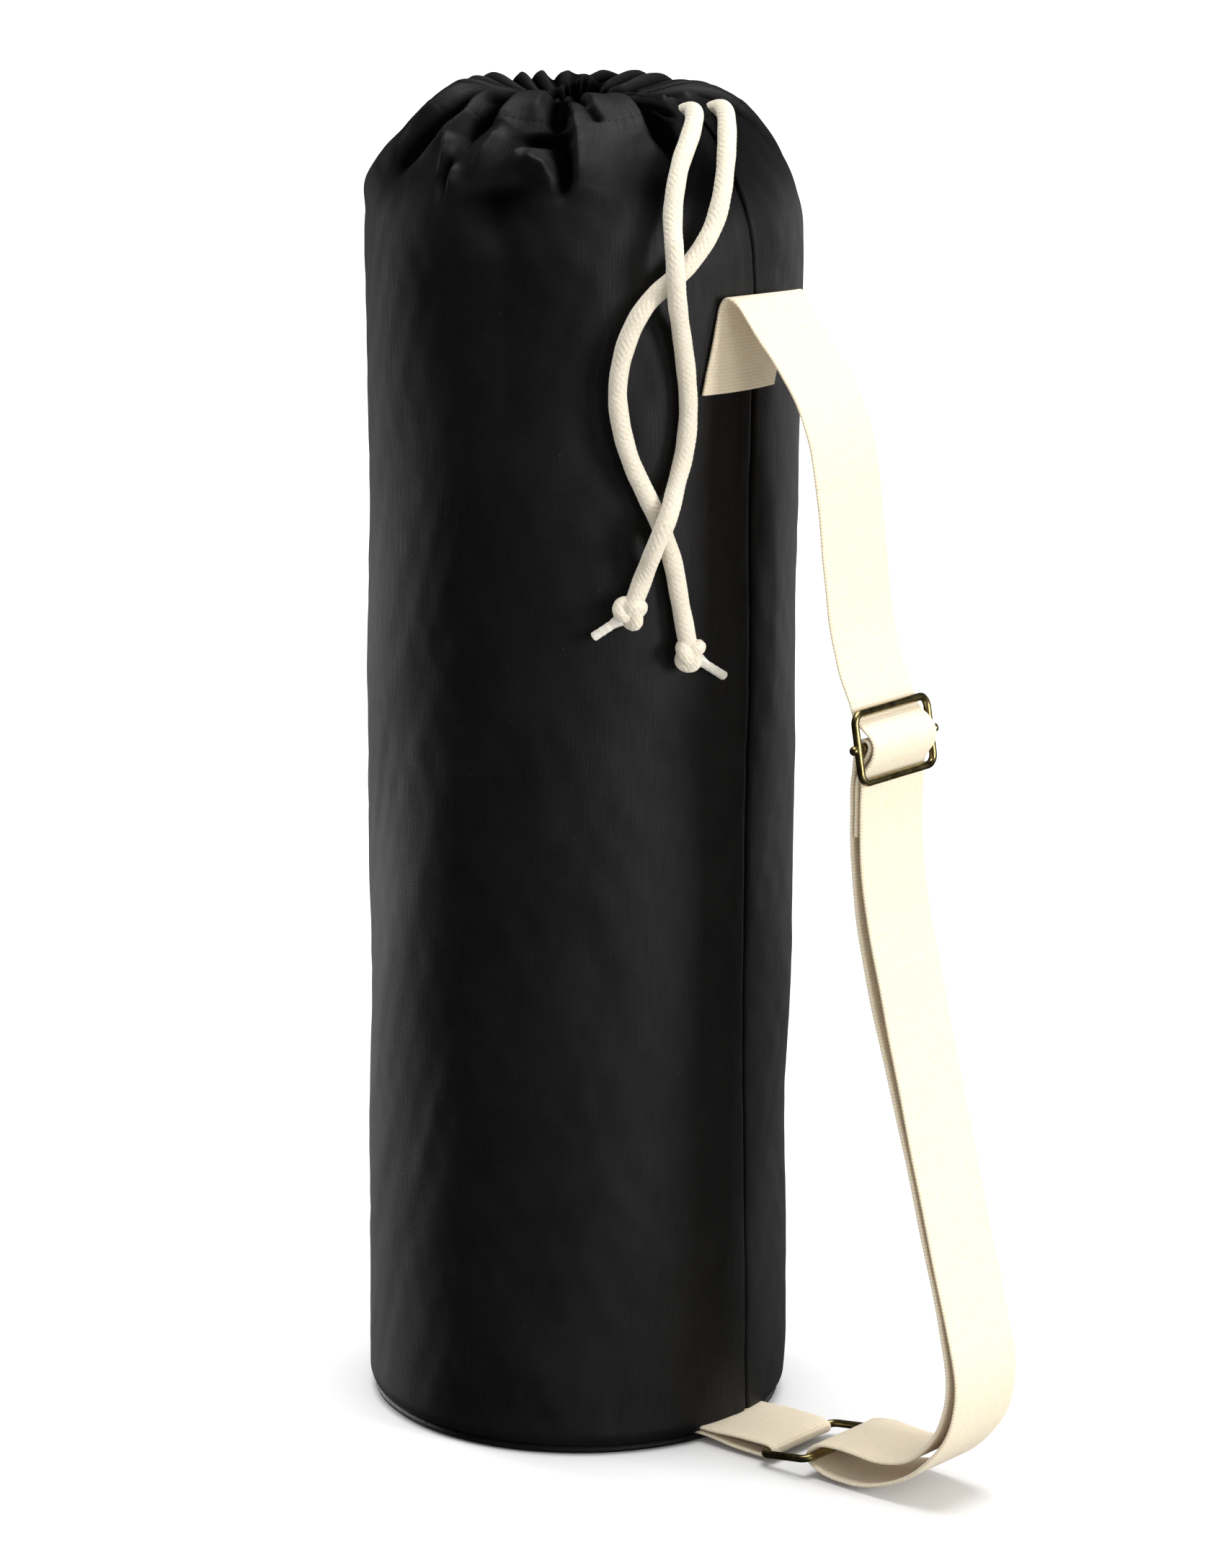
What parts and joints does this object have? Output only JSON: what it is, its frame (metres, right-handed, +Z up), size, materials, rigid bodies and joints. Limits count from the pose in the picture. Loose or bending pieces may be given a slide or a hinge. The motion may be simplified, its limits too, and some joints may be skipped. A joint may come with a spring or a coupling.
{
  "type": "rope storage bag",
  "caption": "Tall round canvas bag with a flat base, a drawcord mouth with knotted cord ends, and a webbing carry strap with a wire slider and ring.",
  "frame": {"origin": "on the tube's axis, where the flat base rests", "axes": "+Z up the tube to the mouth, +X outward through the side seam and the carry strap, +Y across the strap's width"},
  "size_m": [0.2853, 0.165, 0.5215],
  "materials": {
    "canvas": "matt black cotton canvas",
    "piping": "matt black piping",
    "cord": "undyed braided cotton cord",
    "cord_tip": "translucent shrunk sleeve",
    "webbing": "undyed plain-woven cotton webbing",
    "hardware": "antiqued brass wire"
  },
  "bodies": {
    "bag": {"base_panel": "canvas", "base_piping": "piping", "body_panel": "canvas", "side_seam": "canvas", "drawcord_casing": "canvas", "drawcord_loop": "cord", "drawcord_tail_left": "cord", "drawcord_tail_right": "cord", "knot_left": "cord", "knot_right": "cord", "cord_tip_left": "cord_tip", "cord_tip_right": "cord_tip", "strap_top_end": "webbing", "ring_tab": "webbing"},
    "strap": {"strap_top_fold": "webbing", "strap_upper_run": "webbing", "strap_slider_approach": "webbing", "strap_front_top": "webbing", "strap_front_run": "webbing", "strap_back_run": "webbing", "strap_back_top": "webbing"},
    "slider": {"strap_slider_weave": "webbing", "strap_end_loop": "webbing", "slider_frame": "hardware", "slider_bar": "hardware"},
    "ring": {"ring": "hardware", "strap_ring_loop": "webbing"}
  },
  "joints": [
    {"name": "strap_swing", "type": "hinge", "parent": "bag", "child": "strap", "pos_m": [0.1, 0, 0.2], "axis": [0, 0, 1], "range_deg": [-15, 15], "deforming": ["strap_top_fold", "ring_tab"]},
    {"name": "slider_travel", "type": "slide", "parent": "strap", "child": "slider", "axis": [0.1826, 0, -0.9832], "range_m": [-0.014, 0.034], "deforming": ["strap_slider_approach", "strap_front_top", "strap_back_top"]},
    {"name": "ring_pivot", "type": "hinge", "parent": "strap", "child": "ring", "pos_m": [0.1125, 0, 0.005], "axis": [0, -1, 0], "range_deg": [0, 12], "deforming": ["strap_ring_loop"]}
  ]
}
